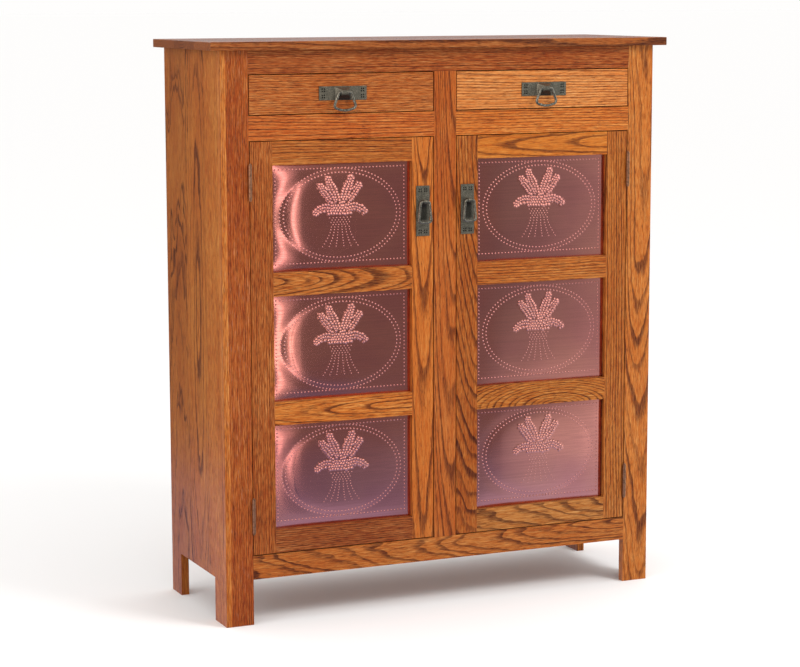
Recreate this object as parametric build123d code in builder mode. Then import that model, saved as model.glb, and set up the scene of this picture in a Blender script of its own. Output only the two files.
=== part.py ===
"""A Mission-style oak pie safe: two drawers over two doors with punched copper panels.

Millimetres. +X is to the viewer's right, +Y to the back, +Z up. The origin is on the floor, at the
middle of the width and depth of the top board. Every piece is in its closed position.
"""

import os

from build123d import *

# ---------------------------------------------------------------- driving dimensions
BOARD = 19.0  # planed thickness of every oak board
PLY = 6.0  # back panel and drawer bottoms
EASE = 1.0  # rounding of the edges that a hand meets
TOP_EASE = 1.5

TOP_WIDTH = 1150.0
TOP_DEPTH = 406.0
TOP_OVERHANG = 19.0  # past the face frame; the back is flush
CASE_WIDTH = 1096.0
CASE_HEIGHT = 1308.0

OUTER_STILE = 66.0
CENTER_STILE = 56.0
BOTTOM_RAIL_Z = (106.0, 161.0)
DRAWER_RAIL_Z = (1107.0, 1163.0)
TOP_RAIL_Z = (1255.0, CASE_HEIGHT)

FRONT_FOOT = 58.0  # depth of a side panel's front foot, behind the face frame
BACK_FOOT = 66.0
FOOT_HEIGHT = 102.0

TENON_LENGTH = 25.0
TENON_THICKNESS = 7.0
TENON_SETBACK = 4.5  # from the front face to the tenon
TENON_SHOULDER = 6.0  # above and below the tenon
DADO = 6.0  # depth of the housings in the side panels
BACK_RABBET = 9.5  # width of the rabbet that takes the back panel

DOOR_GAP = 2.0  # all round a door or a drawer front
DOOR_MEMBER = 54.0  # width of every door stile and rail
PANEL_OPENING = 242.0  # height of one copper panel's sight opening
RABBET = 6.75
RABBET_DEPTH = 6.0  # from the back of the door
SHEET_MARGIN = 6.5  # how far a copper sheet reaches behind the frame
SHEET = 0.8
STOP_WIDTH = 6.5
GLUE_LINE = 0.05  # between glued or pinned pieces that share a file

HINGE_LENGTH = 76.0
HINGE_Z = (254.0, 1015.0)
KNUCKLES = 5
KNUCKLE_GAP = 0.3
BARREL_RADIUS = 4.0
PIN_RADIUS = 2.0
PIN_CLEARANCE = 0.06
LEAF = 1.6
LEAF_GAP = 0.2  # from the hinge's centre plane to a leaf
LEAF_DEPTH = 17.0
AXIS_STANDOFF = 4.5  # hinge axis to the face of the door
FINIAL = 5.0
BUTTON = (3.6, 1.6)  # radius and height of the button under a finial
FINIAL_NECK = 2.6
FINIAL_BEVELS = (0.6, 1.2)
SCREW_HEAD_RADIUS = 3.0
SCREW_RADIUS = 1.5
SCREW_HEAD = 1.5
SCREW_LENGTH = 14.0
SCREW_PITCH = 28.0
SCREW_INSET = 10.2  # from the face of the door

PLATE = 2.0
PLATE_LENGTH = 116.0
DRAWER_PLATE_WIDTH = 31.5
DOOR_PLATE_WIDTH = 33.5
PIERCING = 3.3
PIERCING_DEPTH = 1.4  # they don't go through
PIERCING_PITCH = 5.2
PIERCING_SPREAD = 95.5  # between the two pairs of groups along a plate
PIERCING_ACROSS = 14.0
WIRE_RADIUS = 3.0
WIRE_CLEARANCE = 0.05
BAIL_STANDOFF = 14.2  # bail's plane to the wood
BOSS_STANDOFF = 18.4
BOSS_BASE = (38.0, 27.5)
BOSS_TIP = (12.5, 10.0)
BOSS_RISE = 2.0  # the tip's middle above the base's
DRAWER_PLATE_Z = 1209.5
DRAWER_BAIL_Z = 1211.5
DRAWER_BAIL_TOP = (4.0, 14.3)  # half the gap in the boss, half the width at the bends
DRAWER_BAIL_LOW = (28.0, 34.0, 42.5)  # half the greatest width, its drop, and the drop at the middle
DRAWER_BAIL_BENDS = (4.5, 8.0, 45.0)  # at the top, at the sides and along the bottom
DOOR_PLATE_Z = 935.0
DOOR_BAIL_Z = 956.5
DOOR_BAIL_DROP = 47.5
DOOR_BAIL_HALVES = (11.0, 16.0)  # half widths at the top and at the bottom
DOOR_BAIL_BENDS = (5.0, 6.0)
LUG_WIDTH = 9.0
LUG_WALL = 1.5
LUG_SLOPE = 3.0  # its foot reaches this many eye radii below the bail's axis

DECK = 12.0  # board under the drawers
DRAWER_SIDE = 12.7
DRAWER_SIDE_Z = (1163.2, 1248.0)
DRAWER_BACK_Y = 165.0
DRAWER_LAP = 9.5  # how deep the sides are let into the front
DRAWER_PLAY = 0.5  # the box is this much narrower than its front on each side
GROOVE = 6.0
GROOVE_Z = 1171.0
GUIDE_HEIGHT = 25.0
GUIDE_CLEARANCE = 1.0
KICKER = 19.0
KICKER_WIDTH = 74.0
MIDDLE_KICKER_HALF = 55.5

SHELF_Z = (475.0, 800.0)
SHELF_CLEARANCE = 2.0
SHELF_SETBACK = 15.0  # behind the closed doors
SHELF_PIN_RADIUS = 3.175
SHELF_HOLE_RADIUS = 3.2
SHELF_PIN_DEPTH = 10.0
SHELF_HOLE_PITCH = 32.0
SHELF_PIN_Y = (-110.0, 150.0)

CATCH_WIDTH = 46.0
CATCH_X = 62.0  # from the middle of the case
CATCH_DEPTH = 14.0
CATCH_DROP = 16.0  # below the top of a door
CATCH_TAB = 18.0  # height of the tab that is screwed to the rail
CATCH_TAB_THICKNESS = 3.0
CATCH_TAB_FOOT = 6.0
CATCH_LIFT = 1.0  # above the rail's bottom edge
CATCH_GAP = 0.3  # from the strike plate
STRIKE = 1.0
STRIKE_WIDTH = 38.0
STRIKE_DROP = (15.0, 2.0)  # its edges below the top of a door

# ---------------------------------------------------------------- derived positions
FACE = -TOP_DEPTH / 2 + TOP_OVERHANG
BACK = TOP_DEPTH / 2
INSIDE_FRAME = FACE + BOARD
CASE_X = CASE_WIDTH / 2
SIDE_X = CASE_X - BOARD
OPENING_OUT = CASE_X - OUTER_STILE
OPENING_IN = CENTER_STILE / 2
DOOR_X = (OPENING_IN + DOOR_GAP, OPENING_OUT - DOOR_GAP)
DOOR_Z = (BOTTOM_RAIL_Z[1] + DOOR_GAP, DRAWER_RAIL_Z[0] - DOOR_GAP)
FRONT_Z = (DRAWER_RAIL_Z[1] + DOOR_GAP, TOP_RAIL_Z[0] - DOOR_GAP)
PANEL_X = (DOOR_X[0] + DOOR_MEMBER, DOOR_X[1] - DOOR_MEMBER)
PANEL_PITCH = PANEL_OPENING + DOOR_MEMBER
FIRST_PANEL_Z = DOOR_Z[0] + DOOR_MEMBER
PANEL_ZS = [
    (FIRST_PANEL_Z + i * PANEL_PITCH, FIRST_PANEL_Z + i * PANEL_PITCH + PANEL_OPENING)
    for i in range(3)
]
HINGE_X = (DOOR_X[1] + OPENING_OUT) / 2
HINGE_Y = FACE - AXIS_STANDOFF
BAIL_Y = FACE - BAIL_STANDOFF
DRAWER_X = (DOOR_X[0] + DOOR_X[1]) / 2
LATCH_X = DOOR_X[0] + DOOR_MEMBER / 2
FRONT_PLANE = Plane.XZ.offset(-FACE)  # faces the viewer; its x is +X and its y is +Z
SHEET_Y = INSIDE_FRAME - RABBET_DEPTH
BOARD_Y = (FACE, INSIDE_FRAME)
TENON_Y = (FACE + TENON_SETBACK, FACE + TENON_SETBACK + TENON_THICKNESS)
DECK_Z = (DRAWER_RAIL_Z[1] - DECK, DRAWER_RAIL_Z[1])
FLOOR_Z = (BOTTOM_RAIL_Z[1] - BOARD, BOTTOM_RAIL_Z[1])
PLY_Y = (BACK - PLY, BACK)
REAR_RAIL_Y = (PLY_Y[0] - BOARD, PLY_Y[0])
SHELF_Y = (INSIDE_FRAME + SHELF_SETBACK, PLY_Y[0] - DADO)
DRAWER_BOX_X = (DOOR_X[0] + DRAWER_PLAY, DOOR_X[1] - DRAWER_PLAY)


# ---------------------------------------------------------------- shared helpers
def save(piece, name):
    """Labels a finished piece and writes its STEP file."""
    piece.part.label = name
    export_step(piece.part, f"parts/{name}.step")


def span(middle, width):
    """The (low, high) pair of a width about its middle."""
    return (middle - width / 2, middle + width / 2)


def grown(limits, amount):
    """A (low, high) pair moved out by an amount at both ends."""
    return (limits[0] - amount, limits[1] + amount)


def mirrored(limits, side):
    """A (low, high) pair on the right (side 1) or reflected to the left (side -1)."""
    return tuple(sorted((side * limits[0], side * limits[1])))


def block(x, y, z, mode=Mode.ADD):
    """Adds to the current part, or cuts from it, the block over three (low, high) spans."""
    with Locations((sum(x) / 2, sum(y) / 2, sum(z) / 2)):
        Box(x[1] - x[0], y[1] - y[0], z[1] - z[0], mode=mode)


def ease_front(piece, *edges_of):
    """Rounds the front face's edges that lie furthest along each given direction."""
    outline = piece.faces().sort_by(Axis.Y)[0].edges()
    chosen = [outline.sort_by(Axis((0, 0, 0), direction))[-1] for direction in edges_of]
    fillet(chosen, radius=EASE)


UP = (0, 0, 1)
DOWN = (0, 0, -1)
LEFT = (-1, 0, 0)
RIGHT = (1, 0, 0)


def outward(side):
    """The direction away from the middle of the case."""
    return RIGHT if side > 0 else LEFT


def inward(side):
    """The direction towards the middle of the case."""
    return outward(-side)


def tenons(x, z, mode=Mode.ADD):
    """The two tenons of a rail that spans x, or the mortises that take them."""
    shouldered = grown(z, -TENON_SHOULDER)
    block((x[0] - TENON_LENGTH, x[0]), TENON_Y, shouldered, mode)
    block((x[1], x[1] + TENON_LENGTH), TENON_Y, shouldered, mode)


def upright_tenons(x, z, mode=Mode.ADD):
    """The tenons at the foot and the head of an upright, or the mortises that take them."""
    shouldered = grown(x, -TENON_SHOULDER)
    block(shouldered, TENON_Y, (z[0] - TENON_LENGTH, z[0]), mode)
    block(shouldered, TENON_Y, (z[1], z[1] + TENON_LENGTH), mode)


# ---------------------------------------------------------------- hinges and their screws
def leaf_planes(side, toward):
    """Planes on one leaf's open face at its screws; toward is the way the screws go in."""
    x = side * HINGE_X + toward * LEAF_GAP
    y = FACE + SCREW_INSET
    return [
        Plane(origin=(x, y, z + step * SCREW_PITCH), z_dir=(toward, 0, 0))
        for z in HINGE_Z
        for step in (-1, 0, 1)
    ]


def screws(planes, mode=Mode.ADD):
    """Countersunk screws going along each plane's normal, or the holes that they fill."""
    with Locations(*planes):
        Cylinder(SCREW_RADIUS, SCREW_LENGTH, align=(Align.CENTER, Align.CENTER, Align.MIN), mode=mode)
        Cone(
            SCREW_HEAD_RADIUS,
            SCREW_RADIUS,
            SCREW_HEAD,
            align=(Align.CENTER, Align.CENTER, Align.MIN),
            mode=mode,
        )


def leaf_recesses(side, toward):
    """Cuts the shallow seats of the leaves, and their screw holes, in the current part."""
    x = side * HINGE_X
    reach = toward * (LEAF_GAP + LEAF)
    for z in HINGE_Z:
        block(
            tuple(sorted((x, x + reach))),
            (FACE, FACE + LEAF_DEPTH),
            span(z, HINGE_LENGTH),
            Mode.SUBTRACT,
        )
    screws(leaf_planes(side, toward), Mode.SUBTRACT)


def hinge_leaves(sides_and_ways, first_knuckle):
    """Leaves with every second knuckle, starting from first_knuckle at the bottom."""
    pitch = HINGE_LENGTH / KNUCKLES
    with BuildPart() as piece:
        for side, toward in sides_and_ways:
            x = side * HINGE_X
            faces = sorted((x + toward * LEAF_GAP, x + toward * (LEAF_GAP + LEAF)))
            for z in HINGE_Z:
                block(tuple(faces), (FACE, FACE + LEAF_DEPTH), span(z, HINGE_LENGTH))
                for i in range(first_knuckle, KNUCKLES, 2):
                    middle = z - HINGE_LENGTH / 2 + (i + 0.5) * pitch
                    tall = pitch - KNUCKLE_GAP
                    block(tuple(faces), (HINGE_Y, FACE), span(middle, tall))
                    with Locations((x, HINGE_Y, middle)):
                        Cylinder(BARREL_RADIUS, tall)
                with Locations((x, HINGE_Y, z)):
                    Cylinder(PIN_RADIUS + PIN_CLEARANCE, HINGE_LENGTH, mode=Mode.SUBTRACT)
            screws(leaf_planes(side, toward), Mode.SUBTRACT)
    return piece


def hinge_screws(sides_and_ways):
    """The screws of the leaves on the given sides."""
    with BuildPart() as piece:
        for side, toward in sides_and_ways:
            screws(leaf_planes(side, toward))
    return piece


def hinge_pins():
    """Four loose pins, each turned with a small button finial at both ends."""
    half = HINGE_LENGTH / 2
    tip = half + FINIAL
    button, button_top = BUTTON[0], half + BUTTON[1]
    with BuildPart() as pin:
        with BuildSketch(Plane.XZ):
            with BuildLine():
                Polyline(
                    (0, 0),
                    (PIN_RADIUS, 0),
                    (PIN_RADIUS, half),
                    (button, half),
                    (button, button_top),
                    (FINIAL_NECK, button_top + FINIAL_BEVELS[0]),
                    (FINIAL_NECK, tip - FINIAL_BEVELS[1]),
                    (FINIAL_NECK / 2, tip),
                    (0, tip),
                    close=True,
                )
            make_face()
        revolve(axis=Axis.Z)
        mirror(about=Plane.XY)
    with BuildPart() as group:
        with Locations(*[(side * HINGE_X, HINGE_Y, z) for side in (-1, 1) for z in HINGE_Z]):
            add(pin.part)
    return group


# ---------------------------------------------------------------- the case
def top_board():
    """The overhanging top, with its edges eased."""
    with BuildPart() as piece:
        block(span(0, TOP_WIDTH), span(0, TOP_DEPTH), (CASE_HEIGHT, CASE_HEIGHT + BOARD))
        fillet(piece.edges(), radius=TOP_EASE)
    return piece


def shelf_hole_planes(side, heights, start_x):
    """Planes for shelf pins at the given heights, facing into the side panel."""
    return [
        Plane(origin=(side * start_x, y, z), z_dir=(side, 0, 0))
        for z in heights
        for y in SHELF_PIN_Y
    ]


def side_panel(side):
    """A side panel: cut out between its feet, housed for the floor and the deck, rabbeted at the back."""
    x = mirrored((SIDE_X, CASE_X), side)
    housing_x = mirrored((SIDE_X, SIDE_X + DADO), side)
    inner_y = (INSIDE_FRAME, PLY_Y[0])
    hole_heights = [
        z - SHELF_PIN_RADIUS + step * SHELF_HOLE_PITCH for z in SHELF_Z for step in (-1, 0, 1)
    ]
    with BuildPart() as piece:
        block(x, (INSIDE_FRAME, BACK), (0, CASE_HEIGHT))
        block(x, (INSIDE_FRAME + FRONT_FOOT, BACK - BACK_FOOT), (0, FOOT_HEIGHT), Mode.SUBTRACT)
        block(housing_x, inner_y, FLOOR_Z, Mode.SUBTRACT)
        block(housing_x, inner_y, DECK_Z, Mode.SUBTRACT)
        block(
            mirrored((SIDE_X, SIDE_X + BACK_RABBET), side),
            PLY_Y,
            (FLOOR_Z[0], CASE_HEIGHT),
            Mode.SUBTRACT,
        )
        with Locations(*shelf_hole_planes(side, hole_heights, SIDE_X)):
            Cylinder(
                SHELF_HOLE_RADIUS,
                SHELF_PIN_DEPTH,
                align=(Align.CENTER, Align.CENTER, Align.MIN),
                mode=Mode.SUBTRACT,
            )
    return piece


def outer_stile(side):
    """A face-frame stile that runs down to the floor as the front foot."""
    x = mirrored((OPENING_OUT, CASE_X), side)
    openings = mirrored((OPENING_IN, OPENING_OUT), side)
    with BuildPart() as piece:
        block(x, BOARD_Y, (0, CASE_HEIGHT))
        ease_front(piece, outward(side), DOWN)
        for z in (BOTTOM_RAIL_Z, TOP_RAIL_Z):
            tenons(span(0, 2 * OPENING_OUT), z, Mode.SUBTRACT)
        tenons(openings, DRAWER_RAIL_Z, Mode.SUBTRACT)
        leaf_recesses(side, side)
    return piece


def center_stile():
    """The upright between the doors and between the drawers."""
    x = span(0, CENTER_STILE)
    with BuildPart() as piece:
        block(x, BOARD_Y, (BOTTOM_RAIL_Z[1], TOP_RAIL_Z[0]))
        upright_tenons(x, (BOTTOM_RAIL_Z[1], TOP_RAIL_Z[0]))
        for side in (-1, 1):
            tenons(mirrored((OPENING_IN, OPENING_OUT), side), DRAWER_RAIL_Z, Mode.SUBTRACT)
    return piece


def long_rail(z):
    """The top or the bottom rail, mortised for the upright between the doors."""
    x = span(0, 2 * OPENING_OUT)
    upright_z = (BOTTOM_RAIL_Z[1], TOP_RAIL_Z[0])
    with BuildPart() as piece:
        block(x, BOARD_Y, z)
        tenons(x, z)
        upright_tenons(span(0, CENTER_STILE), upright_z, Mode.SUBTRACT)
    return piece


def drawer_rail(side):
    """The short rail between a door and the drawer above it, with its tenons."""
    x = mirrored((OPENING_IN, OPENING_OUT), side)
    with BuildPart() as piece:
        block(x, BOARD_Y, DRAWER_RAIL_Z)
        tenons(x, DRAWER_RAIL_Z)
    return piece


def housed_board(z, y_end):
    """A board across the case, held in housings in both side panels."""
    with BuildPart() as piece:
        block(span(0, 2 * (SIDE_X + DADO)), (INSIDE_FRAME, y_end), z)
    return piece


def back_panel():
    """The plywood back, set into the side panels' rabbets."""
    with BuildPart() as piece:
        block(span(0, 2 * (SIDE_X + BACK_RABBET)), PLY_Y, (FLOOR_Z[0], CASE_HEIGHT))
    return piece


def rear_top_rail():
    """The rail behind the top board's back edge."""
    with BuildPart() as piece:
        block(span(0, 2 * SIDE_X), REAR_RAIL_Y, TOP_RAIL_Z)
    return piece


def drawer_strips(outer_x, inner_half, y, z):
    """Two strips along the side panels and one in the middle, over the same y and z."""
    with BuildPart() as piece:
        for side in (-1, 1):
            block(mirrored(outer_x, side), y, z)
        block((-inner_half, inner_half), y, z)
    return piece


def shelves():
    """Two loose shelves, each on four pins."""
    with BuildPart() as piece:
        for z in SHELF_Z:
            block(span(0, 2 * (SIDE_X - SHELF_CLEARANCE)), SHELF_Y, (z, z + BOARD))
    return piece


def shelf_pins():
    """The eight pins, half of each in its hole and half under a shelf."""
    heights = [z - SHELF_PIN_RADIUS for z in SHELF_Z]
    with BuildPart() as piece:
        for side in (-1, 1):
            with Locations(*shelf_hole_planes(side, heights, SIDE_X)):
                Cylinder(SHELF_PIN_RADIUS, 2 * SHELF_PIN_DEPTH)
    return piece


def magnetic_catches():
    """Two catches on the back of the drawer rails, each reaching down behind a door."""
    bottom = DOOR_Z[1] - CATCH_DROP
    ledge = DRAWER_RAIL_Z[0] + CATCH_LIFT
    near = INSIDE_FRAME + STRIKE + CATCH_GAP
    far = INSIDE_FRAME + CATCH_DEPTH
    tab = INSIDE_FRAME + CATCH_TAB_THICKNESS
    with BuildPart() as piece:
        for side in (-1, 1):
            with BuildSketch(Plane.YZ.offset(side * CATCH_X - CATCH_WIDTH / 2)):
                with BuildLine():
                    Polyline(
                        (INSIDE_FRAME, ledge + CATCH_TAB),
                        (INSIDE_FRAME, ledge),
                        (near, ledge),
                        (near, bottom),
                        (far, bottom),
                        (far, ledge),
                        (tab, ledge + CATCH_TAB_FOOT),
                        (tab, ledge + CATCH_TAB),
                        close=True,
                    )
                make_face()
            extrude(amount=CATCH_WIDTH)
    return piece


# ---------------------------------------------------------------- a door
def cut_panel_rabbets(side):
    """Cuts the rabbets of all three panels in the current part."""
    for z in PANEL_ZS:
        block(
            grown(mirrored(PANEL_X, side), RABBET),
            (SHEET_Y, INSIDE_FRAME),
            grown(z, RABBET),
            Mode.SUBTRACT,
        )


def door_rail_spans():
    """The heights of the door's four rails, from the bottom one up."""
    edges = [DOOR_Z[0]] + [z for panel in PANEL_ZS for z in panel] + [DOOR_Z[1]]
    return list(zip(edges[0::2], edges[1::2]))


def door_stile(side, x, outer_edge):
    """An upright of a door, mortised for the four rails and rabbeted for the panels."""
    with BuildPart() as piece:
        block(mirrored(x, side), BOARD_Y, DOOR_Z)
        ease_front(piece, outer_edge, UP, DOWN)
        for z in door_rail_spans():
            tenons(mirrored(PANEL_X, side), z, Mode.SUBTRACT)
        cut_panel_rabbets(side)
        if x[1] == DOOR_X[1]:
            leaf_recesses(side, -side)
    return piece


def door_rails(side, spans, eased):
    """One or more rails of a door, with their tenons and rabbets."""
    x = mirrored(PANEL_X, side)
    with BuildPart() as piece:
        for z in spans:
            block(x, BOARD_Y, z)
        if eased:
            ease_front(piece, eased)
        for z in spans:
            tenons(x, z)
        cut_panel_rabbets(side)
    return piece


def copper_panel(side, z):
    """One copper sheet behind its opening."""
    with BuildPart() as piece:
        block(
            grown(mirrored(PANEL_X, side), SHEET_MARGIN),
            (SHEET_Y, SHEET_Y + SHEET),
            grown(z, SHEET_MARGIN),
        )
    return piece


def panel_stops(side):
    """The strips that hold the three sheets from behind, four to a sheet."""
    x = mirrored(PANEL_X, side)
    y = (SHEET_Y + SHEET, INSIDE_FRAME)
    with BuildPart() as piece:
        for z in PANEL_ZS:
            for edge in (z[0] - STOP_WIDTH, z[1]):
                block(grown(x, STOP_WIDTH), y, (edge, edge + STOP_WIDTH))
            for edge in (x[0] - STOP_WIDTH, x[1]):
                block((edge, edge + STOP_WIDTH), y, grown(z, -GLUE_LINE))
    return piece


def strike_plate(side):
    """The steel plate on the back of a door that meets the catch."""
    with BuildPart() as piece:
        block(
            span(side * CATCH_X, STRIKE_WIDTH),
            (INSIDE_FRAME, INSIDE_FRAME + STRIKE),
            (DOOR_Z[1] - STRIKE_DROP[0], DOOR_Z[1] - STRIKE_DROP[1]),
        )
    return piece


# ---------------------------------------------------------------- pulls
def backplate(centre, size, spread):
    """Adds a plate with four groups of square piercings to the current part."""
    with Locations(FRONT_PLANE.location * Location((*centre, 0))):
        Box(*size, PLATE, align=(Align.CENTER, Align.CENTER, Align.MIN))
    with Locations(FRONT_PLANE.location * Location((*centre, PLATE))):
        with GridLocations(*spread, 2, 2):
            with GridLocations(PIERCING_PITCH, PIERCING_PITCH, 2, 2):
                Box(
                    PIERCING,
                    PIERCING,
                    PIERCING_DEPTH,
                    align=(Align.CENTER, Align.CENTER, Align.MAX),
                    mode=Mode.SUBTRACT,
                )


def bail_bore(x, z, length):
    """Cuts the hole that a bail's wire turns in."""
    with Locations(Plane(origin=(x, BAIL_Y, z), z_dir=(1, 0, 0))):
        Cylinder(WIRE_RADIUS + WIRE_CLEARANCE, length, mode=Mode.SUBTRACT)


def drawer_pull_plate(x):
    """A plate across a drawer front with a pyramid boss that holds the bail's two ends."""
    with BuildPart() as piece:
        backplate(
            (x, DRAWER_PLATE_Z),
            (PLATE_LENGTH, DRAWER_PLATE_WIDTH),
            (PIERCING_SPREAD, PIERCING_ACROSS),
        )
        with BuildSketch(FRONT_PLANE.offset(PLATE)):
            with Locations((x, DRAWER_BAIL_Z - BOSS_RISE)):
                Rectangle(*BOSS_BASE)
        with BuildSketch(FRONT_PLANE.offset(BOSS_STANDOFF)):
            with Locations((x, DRAWER_BAIL_Z)):
                Rectangle(*BOSS_TIP)
        loft()
        bail_bore(x, DRAWER_BAIL_Z, 2 * BOSS_BASE[0])
    return piece


def door_pull_plate(x):
    """A plate up a door stile with a lug that the bail's top bar passes through."""
    eye = WIRE_RADIUS + WIRE_CLEARANCE + LUG_WALL
    with BuildPart() as piece:
        backplate(
            (x, DOOR_PLATE_Z),
            (DOOR_PLATE_WIDTH, PLATE_LENGTH),
            (PIERCING_ACROSS, PIERCING_SPREAD),
        )
        with BuildSketch(Plane.YZ.offset(x - LUG_WIDTH / 2)):
            with Locations((BAIL_Y, DOOR_BAIL_Z)):
                Circle(eye)
            with BuildLine():
                Polyline(
                    (FACE - PLATE, DOOR_BAIL_Z + eye),
                    (BAIL_Y, DOOR_BAIL_Z + eye),
                    (BAIL_Y, DOOR_BAIL_Z - eye),
                    (FACE - PLATE, DOOR_BAIL_Z - LUG_SLOPE * eye),
                    close=True,
                )
            make_face()
        extrude(amount=LUG_WIDTH)
        bail_bore(x, DOOR_BAIL_Z, 2 * LUG_WIDTH)
    return piece


def drawer_bail(x):
    """A stirrup-shaped wire bail with its two ends in the boss."""
    start, bend = DRAWER_BAIL_TOP
    wide, low, lowest = DRAWER_BAIL_LOW
    right = [(start, 0), (bend, 0), (wide, low)]
    outline = right + [(0, lowest)] + [(-across, down) for across, down in reversed(right)]
    top_bend, side_bend, bottom_bend = DRAWER_BAIL_BENDS
    with BuildPart() as piece:
        with BuildLine(Plane.XZ.offset(-BAIL_Y)) as path:
            FilletPolyline(
                *[(x + across, DRAWER_BAIL_Z - down) for across, down in outline],
                radius=[top_bend, side_bend, bottom_bend, side_bend, top_bend],
            )
        with BuildSketch(Plane(origin=path.line @ 0, z_dir=path.line % 0)):
            Circle(WIRE_RADIUS)
        sweep()
    return piece


def door_bail(x):
    """A closed wire loop, wider at the bottom, whose top bar turns in the lug."""
    low = DOOR_BAIL_Z - DOOR_BAIL_DROP
    top, bottom = DOOR_BAIL_HALVES
    top_bend, bottom_bend = DOOR_BAIL_BENDS
    with BuildPart() as piece:
        with BuildLine(Plane.XZ.offset(-BAIL_Y)) as path:
            FilletPolyline(
                (x + top, DOOR_BAIL_Z),
                (x + bottom, low),
                (x - bottom, low),
                (x - top, DOOR_BAIL_Z),
                radius=[top_bend, bottom_bend, bottom_bend, top_bend],
                close=True,
            )
        with BuildSketch(Plane(origin=path.line @ 0, z_dir=path.line % 0)):
            Circle(WIRE_RADIUS)
        sweep()
    return piece


# ---------------------------------------------------------------- a drawer
def drawer_front(side):
    """A flush front, grooved for the bottom and lapped for the sides."""
    box_x = mirrored(DRAWER_BOX_X, side)
    with BuildPart() as piece:
        block(mirrored(DOOR_X, side), BOARD_Y, FRONT_Z)
        ease_front(piece, LEFT, RIGHT, UP, DOWN)
        lap_y = (INSIDE_FRAME - DRAWER_LAP, INSIDE_FRAME)
        for edge in (box_x[0], box_x[1] - DRAWER_SIDE):
            block((edge, edge + DRAWER_SIDE), lap_y, DRAWER_SIDE_Z, Mode.SUBTRACT)
        block(
            grown(box_x, GROOVE - DRAWER_SIDE),
            (INSIDE_FRAME - GROOVE, INSIDE_FRAME),
            (GROOVE_Z, GROOVE_Z + PLY),
            Mode.SUBTRACT,
        )
    return piece


def drawer_box(side):
    """Two sides grooved for the bottom, and the back between them."""
    x = mirrored(DRAWER_BOX_X, side)
    side_y = (INSIDE_FRAME - DRAWER_LAP, DRAWER_BACK_Y)
    with BuildPart() as piece:
        for edge in (x[0], x[1] - DRAWER_SIDE):
            block((edge, edge + DRAWER_SIDE), side_y, DRAWER_SIDE_Z)
        block(grown(x, GROOVE - DRAWER_SIDE), side_y, (GROOVE_Z, GROOVE_Z + PLY), Mode.SUBTRACT)
        block(
            grown(x, -DRAWER_SIDE - GLUE_LINE),
            (DRAWER_BACK_Y - DRAWER_SIDE, DRAWER_BACK_Y),
            (GROOVE_Z + PLY, DRAWER_SIDE_Z[1]),
        )
    return piece


def drawer_bottom(side):
    """The plywood bottom, held in grooves on three sides and running out under the back."""
    with BuildPart() as piece:
        block(
            grown(mirrored(DRAWER_BOX_X, side), GROOVE - DRAWER_SIDE),
            (INSIDE_FRAME - GROOVE, DRAWER_BACK_Y),
            (GROOVE_Z, GROOVE_Z + PLY),
        )
    return piece


# ---------------------------------------------------------------- write every piece
os.makedirs("parts", exist_ok=True)

save(top_board(), "top_board")
save(back_panel(), "back_panel")
save(housed_board(FLOOR_Z, PLY_Y[0]), "case_bottom")
save(housed_board(DECK_Z, PLY_Y[0]), "drawer_deck")
save(rear_top_rail(), "rear_top_rail")
save(center_stile(), "center_stile")
save(long_rail(TOP_RAIL_Z), "top_rail")
save(long_rail(BOTTOM_RAIL_Z), "bottom_rail")
save(shelves(), "shelves")
save(shelf_pins(), "shelf_pins")
save(magnetic_catches(), "magnetic_catches")
save(hinge_pins(), "hinge_pins")

guide_x = (OPENING_OUT - GUIDE_CLEARANCE, SIDE_X)
guide_z = (DECK_Z[1], DECK_Z[1] + GUIDE_HEIGHT)
guides = drawer_strips(guide_x, OPENING_IN + GUIDE_CLEARANCE, SHELF_Y, guide_z)
save(guides, "drawer_guides")

kicker_x = (SIDE_X - KICKER_WIDTH, SIDE_X)
kicker_y = (INSIDE_FRAME, REAR_RAIL_Y[0])
kicker_z = (TOP_RAIL_Z[0], TOP_RAIL_Z[0] + KICKER)
kickers = drawer_strips(kicker_x, MIDDLE_KICKER_HALF, kicker_y, kicker_z)
save(kickers, "drawer_kickers")

# A frame leaf's screws go away from the middle of the case, and a door leaf's towards it.
frame_leaves = [(side, side) for side in (-1, 1)]
save(hinge_leaves(frame_leaves, 0), "frame_hinge_leaves")
save(hinge_screws(frame_leaves), "frame_hinge_screws")

for side, hand in ((-1, "left"), (1, "right")):
    save(side_panel(side), f"{hand}_side_panel")
    save(outer_stile(side), f"{hand}_front_stile")
    save(drawer_rail(side), f"{hand}_drawer_rail")

    door = f"{hand}_door"
    door_leaf = [(side, -side)]
    rail_spans = door_rail_spans()
    save(door_stile(side, (PANEL_X[1], DOOR_X[1]), outward(side)), f"{door}_hinge_stile")
    save(door_stile(side, (DOOR_X[0], PANEL_X[0]), inward(side)), f"{door}_latch_stile")
    save(door_rails(side, rail_spans[3:], UP), f"{door}_top_rail")
    save(door_rails(side, rail_spans[1:3], None), f"{door}_mid_rails")
    save(door_rails(side, rail_spans[:1], DOWN), f"{door}_bottom_rail")
    for level, panel_z in zip(("lower", "middle", "upper"), PANEL_ZS):
        save(copper_panel(side, panel_z), f"{door}_{level}_panel")
    save(panel_stops(side), f"{door}_panel_stops")
    save(hinge_leaves(door_leaf, 1), f"{door}_hinge_leaves")
    save(hinge_screws(door_leaf), f"{door}_hinge_screws")
    save(strike_plate(side), f"{door}_strike_plate")
    save(door_pull_plate(side * LATCH_X), f"{door}_pull_plate")
    save(door_bail(side * LATCH_X), f"{door}_bail")

    drawer = f"{hand}_drawer"
    save(drawer_front(side), f"{drawer}_front")
    save(drawer_box(side), f"{drawer}_box")
    save(drawer_bottom(side), f"{drawer}_bottom")
    save(drawer_pull_plate(side * DRAWER_X), f"{drawer}_pull_plate")
    save(drawer_bail(side * DRAWER_X), f"{drawer}_bail")
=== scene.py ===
"""The looks of the oak pie safe: procedural oak, punched copper, hammered pulls and the studio."""

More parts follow.
